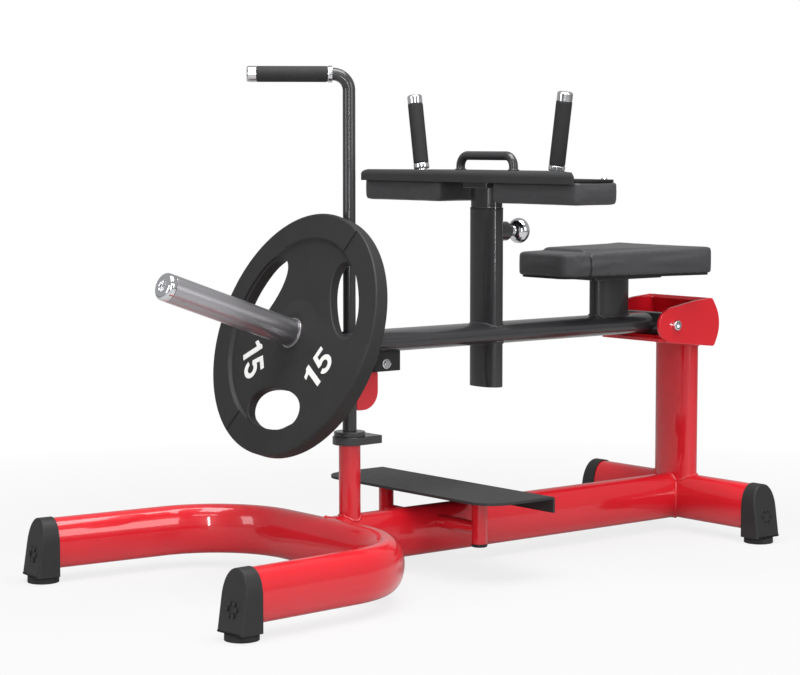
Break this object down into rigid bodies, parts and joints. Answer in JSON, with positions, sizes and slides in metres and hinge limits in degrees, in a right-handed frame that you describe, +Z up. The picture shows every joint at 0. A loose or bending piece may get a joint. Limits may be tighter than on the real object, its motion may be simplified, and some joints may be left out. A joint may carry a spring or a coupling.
{
  "type": "seated calf raise machine",
  "caption": "Seated calf raise machine: forked floor frame, hinged lever with seat, knee pads and weight horn, foot plate and a swinging safety catch",
  "frame": {"origin": "on the floor, under the centre of the overall box", "axes": "+X towards the open end of the base fork and the weight horn, +Y to the left of the seated user, +Z up"},
  "size_m": [1.3844, 0.6956, 0.9385],
  "materials": {
    "red_paint": "gloss powder coat",
    "black_paint": "satin powder coat",
    "cap_plastic": "matt moulded",
    "rubber": "matt",
    "plate_iron": "rubber coated, satin",
    "pad_cover": "grained black upholstery",
    "board": "black painted plywood",
    "chrome": "polished",
    "steel": "brushed",
    "bronze": "plain"
  },
  "bodies": {
    "base": {"main_beam": "red_paint", "front_fork": "red_paint", "rear_cross_tube": "red_paint", "cap_front_left": "cap_plastic", "cap_front_right": "cap_plastic", "cap_rear_left": "cap_plastic", "cap_rear_right": "cap_plastic", "foot_front_left": "rubber", "foot_front_right": "rubber", "foot_rear_left": "rubber", "foot_rear_right": "rubber", "rear_post": "red_paint", "yoke_side_left": "red_paint", "yoke_side_right": "red_paint", "yoke_back_plate": "red_paint", "yoke_base_plate": "red_paint", "pivot_axle": "chrome", "pivot_nut": "steel", "front_post": "red_paint", "post_bush": "cap_plastic", "post_top_plate": "black_paint", "foot_plate": "black_paint", "foot_bracket_left": "red_paint", "foot_bracket_right": "red_paint"},
    "lever": {"lever_tube": "black_paint", "pivot_barrel": "black_paint", "pivot_bush_left": "bronze", "pivot_bush_right": "bronze", "seat_post": "black_paint", "seat_board": "board", "seat_pad": "pad_cover", "knee_sleeve": "black_paint", "sleeve_bush": "cap_plastic", "pin_housing": "black_paint", "pin_spring": "steel", "stop_block": "rubber", "stop_bolt": "chrome", "horn_bracket": "black_paint", "weight_horn": "steel", "horn_cap": "chrome"},
    "pull_pin": {"pull_pin": "steel", "pull_knob": "chrome"},
    "knee_unit": {"knee_inner_tube": "chrome", "knee_mount_block": "black_paint", "knee_top_plate": "black_paint", "knee_board_left": "board", "knee_board_right": "board", "knee_pad_left": "pad_cover", "knee_pad_right": "pad_cover", "knee_u_handle": "black_paint", "grip_rod_left": "chrome", "grip_rod_right": "chrome", "grip_sleeve_left": "rubber", "grip_sleeve_right": "rubber"},
    "safety_handle": {"safety_bar": "black_paint", "safety_grip": "rubber", "safety_grip_cap": "chrome", "catch_plate": "red_paint", "safety_washer": "black_paint"},
    "load": {"weight_plate": "plate_iron"}
  },
  "joints": [
    {"name": "lever_pivot", "type": "hinge", "parent": "base", "child": "lever", "pos_m": [-0.564, 0, 0.4325], "axis": [0, -1, 0], "range_deg": [0, 4]},
    {"name": "knee_height", "type": "slide", "parent": "lever", "child": "knee_unit", "axis": [0, 0, 1], "range_m": [0, 0.15]},
    {"name": "pin_pull", "type": "slide", "parent": "lever", "child": "pull_pin", "axis": [-1, 0, 0], "range_m": [0, 0.012], "stiffness_N_per_m": 1500, "springref_m": -0.008, "deforming": ["pin_spring"]},
    {"name": "safety_swing", "type": "hinge", "parent": "base", "child": "safety_handle", "pos_m": [0.198, 0, 0.258], "axis": [0, 0, -1], "range_deg": [0, 90]},
    {"name": "plate_slide", "type": "slide", "parent": "lever", "child": "load", "axis": [0.9441, 0, 0.3297], "range_m": [0, 0.33]}
  ]
}
